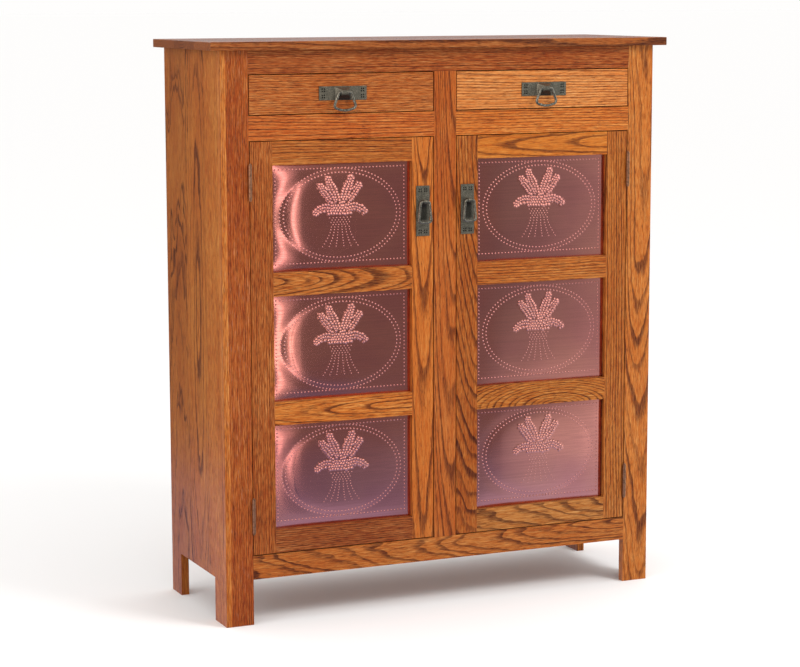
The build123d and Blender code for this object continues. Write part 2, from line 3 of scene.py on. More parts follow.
import math
import random

import bpy
from mathutils import Matrix, Vector, noise
from mathutils.geometry import delaunay_2d_cdt


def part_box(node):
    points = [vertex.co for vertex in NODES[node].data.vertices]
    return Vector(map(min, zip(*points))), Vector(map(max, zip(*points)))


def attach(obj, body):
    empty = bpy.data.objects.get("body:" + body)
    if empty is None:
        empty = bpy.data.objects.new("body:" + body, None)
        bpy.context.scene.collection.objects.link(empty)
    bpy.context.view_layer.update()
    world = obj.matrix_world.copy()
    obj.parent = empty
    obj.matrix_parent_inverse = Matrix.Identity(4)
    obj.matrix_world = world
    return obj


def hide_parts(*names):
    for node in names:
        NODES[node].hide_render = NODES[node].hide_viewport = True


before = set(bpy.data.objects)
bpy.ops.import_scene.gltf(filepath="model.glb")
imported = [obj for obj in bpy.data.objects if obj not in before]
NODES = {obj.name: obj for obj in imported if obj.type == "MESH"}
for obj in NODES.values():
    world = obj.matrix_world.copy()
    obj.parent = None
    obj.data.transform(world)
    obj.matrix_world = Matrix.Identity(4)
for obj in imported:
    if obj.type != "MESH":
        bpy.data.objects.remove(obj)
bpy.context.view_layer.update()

MM = 0.001
HANDS = (("left", -1), ("right", 1))
LEVELS = ("lower", "middle", "upper")


# ---------------------------------------------------------------- node graph helpers
def srgb(red, green, blue):
    """A linear colour from 0 to 255 display values."""
    linear = []
    for value in (red / 255, green / 255, blue / 255):
        linear.append(value / 12.92 if value <= 0.04045 else ((value + 0.055) / 1.055) ** 2.4)
    return (*linear, 1.0)


class Graph:
    """Builds a node tree from nested calls: every argument is a socket or a plain value."""

    def __init__(self, tree):
        self.tree = tree

    def feed(self, socket, value):
        """Links a socket to an input, or sets the input's own value."""
        if isinstance(value, bpy.types.NodeSocket):
            self.tree.links.new(value, socket)
        elif value is not None:
            socket.default_value = value

    def node(self, kind, inputs=None, **settings):
        """Adds a node with its settings and its inputs."""
        made = self.tree.nodes.new(kind)
        for name, value in settings.items():
            setattr(made, name, value)
        for key, value in (inputs or {}).items():
            self.feed(made.inputs[key], value)
        return made

    def math(self, operation, a, b=None, c=None, clamp=False):
        """One arithmetic step."""
        inputs = {0: a, 1: b, 2: c}
        return self.node("ShaderNodeMath", inputs, operation=operation, use_clamp=clamp).outputs[0]

    def mix(self, factor, a, b, blend="MIX"):
        """A mix of two colours."""
        made = self.node("ShaderNodeMix", data_type="RGBA", blend_type=blend)
        for index, value in ((0, factor), (6, a), (7, b)):
            self.feed(made.inputs[index], value)
        return made.outputs[2]

    def remap(self, value, low, high, to_low=0.0, to_high=1.0, smooth=True):
        """A value carried from one range to another, clamped, with eased ends."""
        made = self.node(
            "ShaderNodeMapRange",
            {0: value, 1: low, 2: high, 3: to_low, 4: to_high},
            interpolation_type="SMOOTHSTEP" if smooth else "LINEAR",
        )
        return made.outputs[0]

    def combine(self, x, y, z):
        """A vector from three values."""
        return self.node("ShaderNodeCombineXYZ", {0: x, 1: y, 2: z}).outputs[0]

    def split(self, vector):
        """The three values of a vector."""
        return self.node("ShaderNodeSeparateXYZ", {0: vector}).outputs

    def scaled(self, vector, factors):
        """A vector multiplied along each axis."""
        made = self.node("ShaderNodeVectorMath", {0: vector, 1: factors}, operation="MULTIPLY")
        return made.outputs[0]

    def noise(self, vector, scale=1.0, detail=2.0, roughness=0.5, colour=False):
        """Smooth noise: its value about 0.5, or three values as a colour."""
        made = self.node(
            "ShaderNodeTexNoise",
            {"Vector": vector, "Scale": scale, "Detail": detail, "Roughness": roughness},
        )
        return made.outputs[1 if colour else 0]


def new_material(name):
    """An empty node material with its shader and output."""
    material = bpy.data.materials.new(name)
    material.use_nodes = True
    material.node_tree.nodes.clear()
    graph = Graph(material.node_tree)
    shader = graph.node("ShaderNodeBsdfPrincipled")
    graph.node("ShaderNodeOutputMaterial", {0: shader.outputs[0]})
    return material, graph, shader


def dress(node_name, material):
    """Puts a material on every slot of a CAD node."""
    for slot in NODES[node_name].material_slots:
        slot.material = material


# ---------------------------------------------------------------- oak
def make_oak_group():
    """Solid oak: rings about a pith line along X, pores, rays and stain, all in metres."""
    tree = bpy.data.node_groups.new("Oak", "ShaderNodeTree")
    sockets = (
        ("Vector", "NodeSocketVector", None),
        ("Seed", "NodeSocketFloat", 0.0),
        ("Light", "NodeSocketColor", srgb(190, 112, 62)),
        ("Dark", "NodeSocketColor", srgb(120, 58, 24)),
        ("Ring", "NodeSocketFloat", 0.004),
        ("Slope", "NodeSocketFloat", 0.03),
        ("Wave", "NodeSocketFloat", 0.006),
        ("Swirl", "NodeSocketFloat", 0.55),
        ("Contrast", "NodeSocketFloat", 0.8),
        ("Rays", "NodeSocketFloat", 0.0),
        ("Dashes", "NodeSocketFloat", 0.35),
    )
    for name, kind, value in sockets:
        socket = tree.interface.new_socket(name, in_out="INPUT", socket_type=kind)
        if value is not None:
            socket.default_value = value
    results = (
        ("Color", "NodeSocketColor"),
        ("Roughness", "NodeSocketFloat"),
        ("Height", "NodeSocketFloat"),
    )
    for name, kind in results:
        tree.interface.new_socket(name, in_out="OUTPUT", socket_type=kind)
    g = Graph(tree)
    given = g.node("NodeGroupInput").outputs
    seed_shift = g.combine(g.math("MULTIPLY", given["Seed"], 3.7), given["Seed"], 0.0)
    place = g.node("ShaderNodeVectorMath", {0: given["Vector"], 1: seed_shift}, operation="ADD")
    place = place.outputs[0]
    along, across, deep = g.split(given["Vector"])

    # The pith wanders and leans, which is what draws arches and waves on a flat face.
    wander = g.split(g.noise(g.scaled(place, (1.1, 7.0, 7.0)), detail=1.0, colour=True))
    ripple = g.split(g.noise(g.scaled(place, (9.0, 34.0, 34.0)), detail=2.0, colour=True))
    offsets = []
    for big, small in ((wander[0], ripple[0]), (wander[1], ripple[1])):
        swing = g.math("MULTIPLY", g.math("SUBTRACT", big, 0.5), given["Wave"])
        reach = g.math("MULTIPLY", given["Ring"], given["Swirl"])
        shiver = g.math("MULTIPLY", g.math("SUBTRACT", small, 0.5), reach)
        offsets.append(g.math("ADD", g.math("MULTIPLY", swing, 4.0), shiver))
    lean = g.math("MULTIPLY", along, given["Slope"])
    side = g.math("ADD", across, offsets[0])
    depth = g.math("ADD", g.math("ADD", deep, lean), offsets[1])
    radius = g.math("SQRT", g.math("ADD", g.math("POWER", side, 2.0), g.math("POWER", depth, 2.0)))
    uneven = g.noise(g.combine(g.math("MULTIPLY", radius, 55.0), given["Seed"], 0.0), detail=1.0)
    turns = g.math("ADD", g.math("DIVIDE", radius, given["Ring"]), g.math("MULTIPLY", uneven, 2.2))
    phase = g.math("FRACT", turns)
    year = g.node("ShaderNodeTexWhiteNoise", {"W": g.math("FLOOR", turns)}, noise_dimensions="1D")
    rise = g.remap(phase, 0.0, 0.08)
    fall = g.remap(phase, 0.16, 0.52, 1.0, 0.0)
    strength = g.remap(year.outputs[0], 0.0, 1.0, 0.45, 1.0, smooth=False)
    early = g.math("MULTIPLY", g.math("MULTIPLY", rise, fall), strength)

    # Pores are long thin cells, crowded into the early part of every ring.
    fine = g.noise(g.scaled(place, (70.0, 1150.0, 1150.0)), detail=1.0)
    coarse = g.noise(g.scaled(place, (30.0, 430.0, 430.0)), detail=2.0, roughness=0.6)
    crowd = g.math("ADD", g.math("MULTIPLY", early, 0.11), g.math("MULTIPLY", fine, 0.6))
    pores = g.remap(g.math("ADD", crowd, g.math("MULTIPLY", coarse, 0.4)), 0.54, 0.66)
    fibre = g.noise(g.scaled(place, (11.0, 380.0, 380.0)), detail=4.0, roughness=0.75)
    dashes = g.noise(g.scaled(place, (38.0, 820.0, 820.0)), detail=2.0, roughness=0.6)
    flecks = g.remap(g.noise(g.scaled(place, (48.0, 820.0, 820.0)), detail=1.0), 0.55, 0.60)
    mottle = g.noise(g.scaled(place, (3.2, 12.0, 12.0)), detail=2.0)
    ray_cells = g.noise(g.scaled(place, (55.0, 330.0, 700.0)), detail=1.0)
    rays = g.math("MULTIPLY", g.remap(ray_cells, 0.60, 0.68), given["Rays"])

    tone = g.math("MULTIPLY", early, given["Contrast"])
    wood = g.mix(tone, given["Light"], given["Dark"])
    deep_stain = g.mix(1.0, given["Dark"], srgb(176, 160, 140), "MULTIPLY")
    filled = g.math("MULTIPLY", pores, g.math("MULTIPLY_ADD", given["Contrast"], 0.5, 0.25))
    wood = g.mix(filled, wood, deep_stain)
    wood = g.mix(g.math("MULTIPLY", flecks, g.math("MULTIPLY", given["Dashes"], 0.55)), wood, deep_stain)
    pale = g.mix(1.0, given["Light"], srgb(255, 244, 226), "SCREEN")
    wood = g.mix(g.math("MULTIPLY", rays, 0.16), wood, pale)
    depth_of_stain = g.math(
        "ADD",
        g.remap(fibre, 0.32, 0.68, 0.86, 1.18, smooth=False),
        g.remap(mottle, 0.3, 0.7, -0.08, 0.08, smooth=False),
    )
    dash_depth = g.remap(dashes, 0.38, 0.62, -0.34, 0.34, smooth=False)
    dash_depth = g.math("MULTIPLY", dash_depth, given["Dashes"])
    depth_of_stain = g.math("ADD", depth_of_stain, dash_depth)
    wood = g.node("ShaderNodeGamma", {"Color": wood, "Gamma": depth_of_stain}).outputs[0]
    rough = g.math("ADD", g.math("MULTIPLY", pores, 0.16), g.remap(fibre, 0.3, 0.7, 0.33, 0.42))
    height = g.math("SUBTRACT", g.math("MULTIPLY", early, -0.25), pores)
    g.node("NodeGroupOutput", {"Color": wood, "Roughness": rough, "Height": height})
    return tree


OAK = make_oak_group()
GRAIN_ORDER = {"X": (0, 2, 1), "Z": (2, 0, 1), "Y": (1, 0, 2)}  # world axes for along, across, deep
SIDE_ORDER = (2, 1, 0)
BOARD_SHIFT = 0.47  # each board of a row is cut this much further along its log
SEED_STEP = 5.3


def oak_material(name, centre, order, seed, boards, joints=(), middles=()):
    """Oak for one board, or for a row of boards. centre is the middle of the whole, and boards holds
    a tone and a figure for each. joints are the places across the row where the next board starts,
    and middles are the boards' own middles."""
    material, g, shader = new_material(name)
    place = g.split(g.node("ShaderNodeTexCoord").outputs["Object"])
    steps = [g.math("GREATER_THAN", place[order[1]], edge) for edge in joints]
    tones, figures = zip(*boards)

    def by_board(values):
        """A value that changes from board to board across the row."""
        total = values[0]
        for step, before, after in zip(steps, values, values[1:]):
            if after != before:
                total = g.math("MULTIPLY_ADD", step, after - before, total)
        return total

    numbers = range(len(boards))
    middle = by_board(middles) if joints else centre[order[1]]
    starts = by_board([centre[order[0]] - BOARD_SHIFT * i for i in numbers])
    along = g.math("SUBTRACT", place[order[0]], starts)
    across = g.math("SUBTRACT", place[order[1]], middle)
    across = g.math("SUBTRACT", across, by_board([pith[0] for pith, _ in figures]))
    deep = g.math("SUBTRACT", place[order[2]], centre[order[2]])
    deep = g.math("SUBTRACT", deep, by_board([pith[1] for pith, _ in figures]))
    light, dark = tinted(tones[0], LATEWOOD), tinted(tones[0], EARLYWOOD)
    for step, tone in zip(steps, tones[1:]):
        light = g.mix(step, light, tinted(tone, LATEWOOD))
        dark = g.mix(step, dark, tinted(tone, EARLYWOOD))
    inputs = {
        "Vector": g.combine(along, across, deep),
        "Seed": by_board([seed + SEED_STEP * i for i in numbers]),
        "Light": light,
        "Dark": dark,
    }
    for key in figures[0][1]:
        inputs[key] = by_board([settings[key] for _, settings in figures])
    oak = g.node("ShaderNodeGroup", node_tree=OAK)
    for key, value in inputs.items():
        g.feed(oak.inputs[key], value)
    relief = {"Height": oak.outputs["Height"], "Distance": 0.00025, "Strength": 0.6}
    bump = g.node("ShaderNodeBump", relief)
    g.feed(shader.inputs["Base Color"], oak.outputs["Color"])
    g.feed(shader.inputs["Roughness"], oak.outputs["Roughness"])
    shader.inputs["Specular IOR Level"].default_value = 0.12
    g.feed(shader.inputs["Normal"], bump.outputs[0])
    shader.inputs["Coat Weight"].default_value = 0.05
    shader.inputs["Coat Roughness"].default_value = 0.2
    return material


def tinted(tone, factors):
    """A tone from 0 to 255 display values, scaled channel by channel in linear light."""
    return (*(c * f for c, f in zip(srgb(*tone), factors)), 1.0)


LATEWOOD = (1.14, 1.15, 0.62)  # how a board's tone turns into its pale wood
EARLYWOOD = (0.32, 0.21, 0.09)  # and into the dark porous lines
RAW = (206, 160, 108)  # unstained drawer wood


def figure(across, deep, ring, slope, wave, contrast, dashes=0.35, rays=0.0, swirl=0.55):
    """How a board is cut: the way to the pith, the width of the rings and how they run."""
    settings = {"Ring": ring, "Slope": slope, "Wave": wave, "Swirl": swirl}
    settings.update({"Contrast": contrast, "Dashes": dashes, "Rays": rays})
    return (across, deep), settings


STRAIGHT = figure(0.16, 0.05, 0.0044, 0.01, 0.003, 0.74, dashes=0.6)
FLECKED = figure(0.22, 0.05, 0.0042, 0.008, 0.002, 0.66, dashes=0.55, rays=0.12)
LINED = figure(0.07, 0.035, 0.0055, 0.02, 0.007, 0.85, dashes=0.5)
CATHEDRAL = figure(0.002, 0.05, 0.0058, 0.045, 0.007, 1.0)
BOLD = figure(0.004, 0.034, 0.0062, 0.035, 0.005, 0.85, swirl=0.9)
WAVY = figure(0.02, 0.05, 0.0062, 0.045, 0.011, 0.8)
FLAMED = figure(0.012, 0.06, 0.0048, 0.035, 0.008, 0.8, dashes=0.6, swirl=1.0)
BROAD = figure(0.002, 0.045, 0.0170, 0.10, 0.009, 0.85, swirl=1.3)
PATCHY = figure(0.004, 0.05, 0.0300, 0.17, 0.012, 0.74, swirl=1.5)
SWIRLED = figure(0.02, 0.045, 0.0080, 0.10, 0.010, 0.85, dashes=0.5, swirl=1.7)
CHEVRONS = figure(0.004, 0.02, 0.0060, 0.13, 0.006, 0.9, dashes=0.6, swirl=1.1)
ISLAND = figure(0.002, 0.002, 0.0080, 0.09, 0.005, 0.9, dashes=0.6, swirl=1.2)
FAN = figure(-0.03, 0.0, 0.0054, 0.30, 0.005, 0.9, dashes=0.6, swirl=0.9)
LEANING = figure(0.03, 0.06, 0.0080, 0.16, 0.009, 0.9, dashes=0.6, swirl=1.0)


def middle_of(node_name):
    """The middle of a CAD node's box."""
    low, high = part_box(node_name)
    return (low + high) / 2


def board(node_name, axis, seed, *boards, order=None, **row):
    """Dresses one CAD board, or a row of them, in oak, with the grain along the named world axis."""
    order = order or GRAIN_ORDER[axis]
    centre = middle_of(node_name)
    dress(node_name, oak_material(f"oak_{node_name}", centre, order, seed, boards, **row))


def dress_case():
    """Oak for the case: every board has its own tone, figure and seed, some with painted light and
    shade.
    """
    side = {"joints": (-0.076, 0.062), "middles": (-0.13, -0.02, 0.11), "order": SIDE_ORDER}
    # Partly the boards' own tones and partly painted shade: they darken from front to back, as light
    # falls off towards the back.
    tones = ((174, 99, 43), (155, 85, 34), (144, 78, 31))
    board("left_side_panel", "Z", 3, *zip(tones, (STRAIGHT, BROAD, PATCHY)), **side)
    board("right_side_panel", "Z", 8, *zip(tones, (LINED, CATHEDRAL, WAVY)), **side)
    flat = {"order": (0, 1, 2), "middles": (-0.14, -0.01, 0.13)}
    top_boards = (((135, 73, 42), LINED), ((122, 64, 36), CATHEDRAL), ((130, 70, 40), WAVY))
    board("top_board", "X", 5, *top_boards, joints=(-0.09, 0.05), **flat)
    inner_boards = (((150, 84, 44), LINED), ((136, 74, 38), CATHEDRAL), ((146, 82, 43), WAVY))
    board("case_bottom", "X", 19, *inner_boards, joints=(-0.06, 0.07), **flat)
    board("shelves", "X", 20, *inner_boards, joints=(-0.05, 0.08), **flat)
    # Painted light: the left front stile's side face is toned paler than its front face, for the light
    # that falls on it.
    stile = {"joints": (-0.5352,), "middles": (-0.5, -0.5)}
    stile_painted_light_tones = ((170, 96, 50), (147, 71, 32))  # its side face, then its front
    board("left_front_stile", "Z", 11, *((tone, FLECKED) for tone in stile_painted_light_tones), **stile)
    board("right_front_stile", "Z", 12, ((168, 96, 51), FLAMED))
    board("center_stile", "Z", 13, ((156, 81, 40), WAVY))
    board("top_rail", "X", 14, ((140, 69, 35), STRAIGHT))
    board("left_drawer_rail", "X", 15, ((166, 86, 44), LINED))
    board("right_drawer_rail", "X", 16, ((176, 98, 50), LINED))
    board("bottom_rail", "X", 17, ((157, 88, 47), SWIRLED))
    board("rear_top_rail", "X", 18, ((150, 84, 44), STRAIGHT))
    board("back_panel", "Z", 21, ((150, 88, 48), WAVY))
    for seed, name in enumerate(("drawer_deck", "drawer_guides", "drawer_kickers")):
        board(name, "X", 22 + seed, (RAW, STRAIGHT))


def dress_doors_and_drawers():
    """Oak for the doors and the drawers."""
    rails = {"joints": (0.634,), "middles": (0.486, 0.782)}
    board("left_drawer_front", "X", 31, ((158, 87, 50), STRAIGHT))
    board("right_drawer_front", "X", 32, ((181, 109, 70), LINED))
    board("left_door_hinge_stile", "Z", 33, ((147, 76, 38), STRAIGHT))
    board("left_door_latch_stile", "Z", 34, ((168, 92, 45), BOLD))
    board("left_door_top_rail", "X", 35, ((157, 88, 47), LINED))
    board("left_door_mid_rails", "X", 36, ((172, 97, 48), ISLAND), ((160, 90, 48), CHEVRONS), **rails)
    board("left_door_bottom_rail", "X", 37, ((136, 71, 41), STRAIGHT))
    board("right_door_hinge_stile", "Z", 38, ((156, 88, 45), LINED))
    board("right_door_latch_stile", "Z", 39, ((146, 76, 34), LEANING))
    board("right_door_top_rail", "X", 40, ((169, 96, 44), BOLD))
    board("right_door_mid_rails", "X", 41, ((156, 88, 42), FAN), ((155, 84, 41), LINED), **rails)
    board("right_door_bottom_rail", "X", 42, ((158, 98, 60), SWIRLED))
    for hand, side in HANDS:
        board(f"{hand}_door_panel_stops", "X", 50 + side, ((150, 84, 44), STRAIGHT))
        board(f"{hand}_drawer_box", "Y", 54 + side, (RAW, STRAIGHT))
        board(f"{hand}_drawer_bottom", "X", 58 + side, (RAW, WAVY))


# ---------------------------------------------------------------- metals
PIERCING_SHADE_DEPTHS = (-0.1855, -0.1850)  # behind this depth a pull plate is painted in shade


def hammered_material(name, colour, worn, roughness, dimple, grime_and_shade=None):
    """Dark patinated metal with hammer marks and rubbed high spots. The last argument holds the middle
    and the half size, across and up, of a place behind a bail painted in shade, the same on both sides."""
    material, g, shader = new_material(name)
    place = g.node("ShaderNodeTexCoord").outputs["Object"]
    cells = g.node("ShaderNodeTexVoronoi", {"Vector": place, "Scale": 1 / dimple}, feature="SMOOTH_F1")
    patches = g.noise(place, 420.0, 3.0, 0.65)
    stain = g.noise(place, 90.0, 2.0)
    base = g.mix(g.remap(patches, 0.40, 0.66), colour, worn)
    base = g.mix(g.remap(stain, 0.35, 0.7, 0.0, 0.45), base, srgb(78, 74, 64))
    if grime_and_shade:
        # Painted shade: a box behind each bail is darkened towards near black, where the bail and its
        # boss would shade the plate.
        x, y, z = g.split(place)
        dirt_and_shade = 1.0
        for value, middle, half in ((g.math("ABSOLUTE", x), *grime_and_shade[0]), (z, *grime_and_shade[1])):
            away = g.math("ABSOLUTE", g.math("SUBTRACT", value, middle))
            within = g.remap(away, half - 0.004, half + 0.003, 0.85, 0.0)
            dirt_and_shade = g.math("MULTIPLY", dirt_and_shade, within)
        # Painted shade: the floors of the piercings and the plate's edges are painted near black, as if
        # in shadow.
        shaded_floors = g.remap(y, *PIERCING_SHADE_DEPTHS, 0.0, 0.92)
        base = g.mix(g.math("MAXIMUM", dirt_and_shade, shaded_floors), base, srgb(18, 17, 15))
    marks = g.math("ADD", cells.outputs["Distance"], g.math("MULTIPLY", patches, 0.35))
    bump = g.node("ShaderNodeBump", {"Height": marks, "Distance": 0.0005, "Strength": 0.45})
    g.feed(shader.inputs["Base Color"], base)
    g.feed(shader.inputs["Roughness"], g.remap(patches, 0.3, 0.7, roughness + 0.1, roughness - 0.06))
    g.feed(shader.inputs["Normal"], bump.outputs[0])
    shader.inputs["Metallic"].default_value = 0.8
    return material


def plain_metal(name, colour, roughness):
    """Plated hardware with a little dirt."""
    material, g, shader = new_material(name)
    place = g.node("ShaderNodeTexCoord").outputs["Object"]
    grime_and_shade = g.noise(place, 190.0, 3.0)
    dirt_and_shade = g.remap(grime_and_shade, 0.4, 0.75, 0.0, 0.5)
    g.feed(shader.inputs["Base Color"], g.mix(dirt_and_shade, colour, srgb(60, 48, 40)))
    g.feed(shader.inputs["Roughness"], g.remap(grime_and_shade, 0.3, 0.7, roughness, roughness + 0.15))
    shader.inputs["Metallic"].default_value = 0.9
    return material


def moulded_plastic(name, colour):
    """Dull moulded plastic with a fine spark-eroded grain."""
    material, g, shader = new_material(name)
    place = g.node("ShaderNodeTexCoord").outputs["Object"]
    grain = g.noise(place, 900.0, 2.0)
    bump = g.node("ShaderNodeBump", {"Height": grain, "Distance": 0.0001})
    g.feed(shader.inputs["Base Color"], g.mix(grain, colour, srgb(52, 36, 26)))
    g.feed(shader.inputs["Roughness"], g.remap(grain, 0.3, 0.7, 0.45, 0.6))
    g.feed(shader.inputs["Normal"], bump.outputs[0])
    return material


def copper_material(name, light, deep):
    """Antiqued copper sheet, brushed along X, under a thin lacquer."""
    material, g, shader = new_material(name)
    place = g.node("ShaderNodeTexCoord").outputs["Object"]
    strokes = g.noise(g.scaled(place, (3.0, 380.0, 380.0)), detail=3.0, roughness=0.7)
    bloom = g.noise(g.scaled(place, (5.0, 5.0, 7.0)), detail=3.0)
    tone = g.mix(g.remap(bloom, 0.3, 0.7), light, deep)
    tone = g.mix(g.remap(strokes, 0.35, 0.65, 0.0, 0.16), tone, srgb(120, 66, 60))
    bump = g.node("ShaderNodeBump", {"Height": strokes, "Distance": 0.00001, "Strength": 0.3})
    g.feed(shader.inputs["Base Color"], tone)
    g.feed(shader.inputs["Roughness"], g.remap(strokes, 0.3, 0.7, 0.13, 0.18))
    g.feed(shader.inputs["Normal"], bump.outputs[0])
    tangent = g.node("ShaderNodeTangent", direction_type="RADIAL", axis="X")
    g.feed(shader.inputs["Tangent"], tangent.outputs[0])
    shader.inputs["Metallic"].default_value = 1.0
    shader.inputs["Anisotropic"].default_value = 0.75
    shader.inputs["Coat Weight"].default_value = 0.5
    shader.inputs["Coat Roughness"].default_value = 0.18
    return material


# ---------------------------------------------------------------- punched copper sheets
BORDER = (159.0, 107.0)  # half size of the dotted rectangle, mm
OVAL = (149.0, 106.0)  # outer row of the dotted oval
OVAL_ROW = 9.0  # from the outer row to the inner one
DOT_PITCH = 8.6
PATTERN_SHIFT = (-2.5, 3.0)
DOT = (1.8, 1.8, 1.8)  # half length, half width and height of a round punch
SMALL_DOT = (1.4, 1.4, 1.2)  # the same of one in a stem
GRAIN = (3.4, 1.45, 2.6)  # the same of one grain of wheat
HOLD = 1.22  # a ring of points this far out keeps the sheet flat up to the punch
EAR_ROW = 6.2  # between the rows of grains in an ear
CLOSEST = 4.4  # two grains are never nearer than this
CROWD_ROWS = 5  # of grains in the crowded middle
CROWD_PITCH = (6.8, 6.2)
NECK_ROWS = 4
NECK_DOTS = 7  # in a row of the neck
STEM_DOTS = 8
EARS = (  # the left-hand ears: start, bend and end of the spine, then the width
    (((-8, 32), (-20, 58), (-31, 84)), 21),
    (((-14, 26), (-33, 48), (-50, 68)), 20),
    (((-18, 14), (-44, 24), (-64, 5)), 19),
)
PILLOW = 1.5  # how far the oval swells out
MOAT = 0.6  # how far the sheet sinks along the rim of the oval
MOAT_WIDTH = 0.12  # as a share of the oval
CROWN = 5.5  # how far the whole sheet does
SWELLING = {"left_upper": 1.0, "left_middle": 0.75, "left_lower": 0.6, "right_lower": 0.9}
LEAST_SWELLING = 0.3  # of the other sheets
SHEET_HALF = (174.0, 124.0)  # where the frame holds it flat
SHEET = 0.5
RUBBED = 2.9  # a face whose corners stand higher than this in all has its patina worn off
GRID = 5.0  # between the points of the sheet that belong to no punch
CLEAR = 3.6  # such a point is no nearer than this to the middle of a punch
CELL = 8.0  # of the lookup that finds the punches near a point


def along_line(start, end, pitch):
    """Evenly spaced points from start up to, but not at, end."""
    run = Vector(end) - Vector(start)
    count = max(1, round(run.length / pitch))
    return [Vector(start) + run * (i / count) for i in range(count)]


def border_punches():
    """Round dots along the rectangle and in two staggered rows round the oval."""
    x, z = BORDER
    corners = [(-x, -z), (x, -z), (x, z), (-x, z)]
    dots = []
    for i, corner in enumerate(corners):
        dots += along_line(corner, corners[(i + 1) % 4], DOT_PITCH)
    for row in (0, 1):
        a, b = OVAL[0] - row * OVAL_ROW, OVAL[1] - row * OVAL_ROW
        around = math.pi * (3 * (a + b) - math.sqrt((3 * a + b) * (a + 3 * b)))
        count = round(around / DOT_PITCH)
        angle, step = 0.0, around / count
        for i in range(count):
            dots.append(Vector((a * math.cos(angle), b * math.sin(angle))))
            angle += step / math.hypot(a * math.sin(angle), b * math.cos(angle))
    return [(dot, 0.0, DOT) for dot in dots]


def ear_punches(spine, width, rng):
    """One ear of wheat: uneven grains in threes that splay from a curved spine, blunt at the tip."""
    start, bend, end = (Vector(p) for p in spine)
    length = (end - start).length
    rows = round(length / EAR_ROW)
    grains = []
    for i in range(rows + 1):
        t = i / rows
        middle = start * (1 - t) ** 2 + bend * 2 * t * (1 - t) + end * t * t
        run = (bend - start) * (1 - t) + (end - bend) * t
        heading = math.atan2(run.y, run.x)
        normal = Vector((-run.y, run.x)).normalized()
        spread = width / 2.7 * (0.72 + 0.28 * math.sin(math.pi * min(1.0, t * 1.15)))
        for side in (-1, 0, 1):
            stagger = Vector(run).normalized() * EAR_ROW / 2 if side == 0 else Vector((0, 0))
            strike = Vector((rng.uniform(-0.9, 0.9), rng.uniform(-0.9, 0.9)))
            shape = tuple(size * rng.uniform(0.8, 1.2) for size in GRAIN)
            place = middle + normal * side * spread + stagger + strike
            grains.append((place, heading + side * 0.6 + rng.uniform(-0.35, 0.35), shape))
    return grains


def sheaf_punches(rng):
    """Six ears, a crowded middle, a neck of small dots and stems that open out below it."""
    grains = []
    for spine, width in EARS:
        grains += ear_punches(spine, width, rng)
        grains += ear_punches([(-x - 4.0, z) for x, z in spine], width, rng)
    for row in range(CROWD_ROWS):
        for column in range(-5, 6):
            across = (column + 0.5 * (row % 2)) * CROWD_PITCH[0]
            place = Vector((across - 3.0, 3.0 + row * CROWD_PITCH[1]))
            place += Vector((rng.uniform(-1, 1), rng.uniform(-1, 1)))
            if abs(place.x + 3.0) < 33 - 0.25 * place.y:
                grains.append((place, rng.uniform(0.5, 2.6), GRAIN))
    kept = []
    for grain in grains:
        if all((grain[0] - other[0]).length > CLOSEST for other in kept):
            kept.append(grain)
    dots = []
    for row in range(NECK_ROWS):
        half = 26.0 - row * 1.6
        for i in range(NECK_DOTS):
            place = i + 0.5 * (row % 2)
            if place <= NECK_DOTS - 1:
                across = 2 * half * place / (NECK_DOTS - 1)
                dots.append(Vector((-2.0 - half + across, -6.0 - row * 5.2)))
    for share in (-1, -0.62, -0.24, 0.2, 0.6, 1):
        for i in range(STEM_DOTS):
            drop = 27.0 + 6.3 * i
            opening = i / (STEM_DOTS - 1)
            dots.append(Vector((-2.0 + share * (22.0 + 22.0 * opening**1.5), -drop)))
    return kept + [(dot, 0.0, SMALL_DOT) for dot in dots]


def swell(x, z):
    """How far the sheet stands forward of its edges at a point, in mm: most on the left."""
    x, z = x - PATTERN_SHIFT[0], z - PATTERN_SHIFT[1]
    out = math.hypot(x / OVAL[0], z / OVAL[1])
    leftward = 1 - 0.65 * min(1.0, max(0.0, (x + 100) / 240))
    inside = PILLOW * max(0.0, 1 - out**4) * leftward
    inside -= MOAT * math.exp(-(((out - 1) / MOAT_WIDTH) ** 2)) * leftward
    crown = CROWN * max(0.0, 1 - abs(x / SHEET_HALF[0]) ** 4)
    crown *= max(0.0, 1 - abs(z / SHEET_HALF[1]) ** 6)
    return inside + crown * leftward


def sheet_layout(half):
    """Triangulates a sheet of the given half size with rings of points round every punch."""
    shift = Vector(PATTERN_SHIFT)
    punches = border_punches() + sheaf_punches(random.Random(7))
    punches = [(place + shift, heading, shape) for place, heading, shape in punches]
    points, heights = [], []
    for place, heading, shape in punches:
        c, s = math.cos(heading), math.sin(heading)
        points.append(place)
        heights.append(shape[2])
        for ring, sides in ((0.5, 6), (1.0, 8), (HOLD, 8)):
            for i in range(sides):
                turn = math.tau * (i + ring) / sides
                u, v = ring * shape[0] * math.cos(turn), ring * shape[1] * math.sin(turn)
                points.append(place + Vector((u * c - v * s, u * s + v * c)))
                heights.append(shape[2] * max(0.0, 1 - ring**2))
    cells = {}
    for place, _, shape in punches:
        cells.setdefault((round(place.x / CELL), round(place.y / CELL)), []).append(place)
    columns, rows = round(2 * half[0] / GRID), round(2 * half[1] / GRID)
    for i in range(columns + 1):
        for j in range(rows + 1):
            p = Vector((-half[0] + 2 * half[0] * i / columns, -half[1] + 2 * half[1] * j / rows))
            column, row = round(p.x / CELL), round(p.y / CELL)
            close = []
            for beside in (-1, 0, 1):
                for above in (-1, 0, 1):
                    close += cells.get((column + beside, row + above), [])
            rim = i in (0, columns) or j in (0, rows)
            if rim or all((p - q).length > CLEAR for q in close):
                points.append(p)
                heights.append(0.0)
    result = delaunay_2d_cdt(points, [], [], 0, 1e-5, True)
    origin = [ids[0] for ids in result[3]]
    return result[0], [heights[i] for i in origin], result[2]


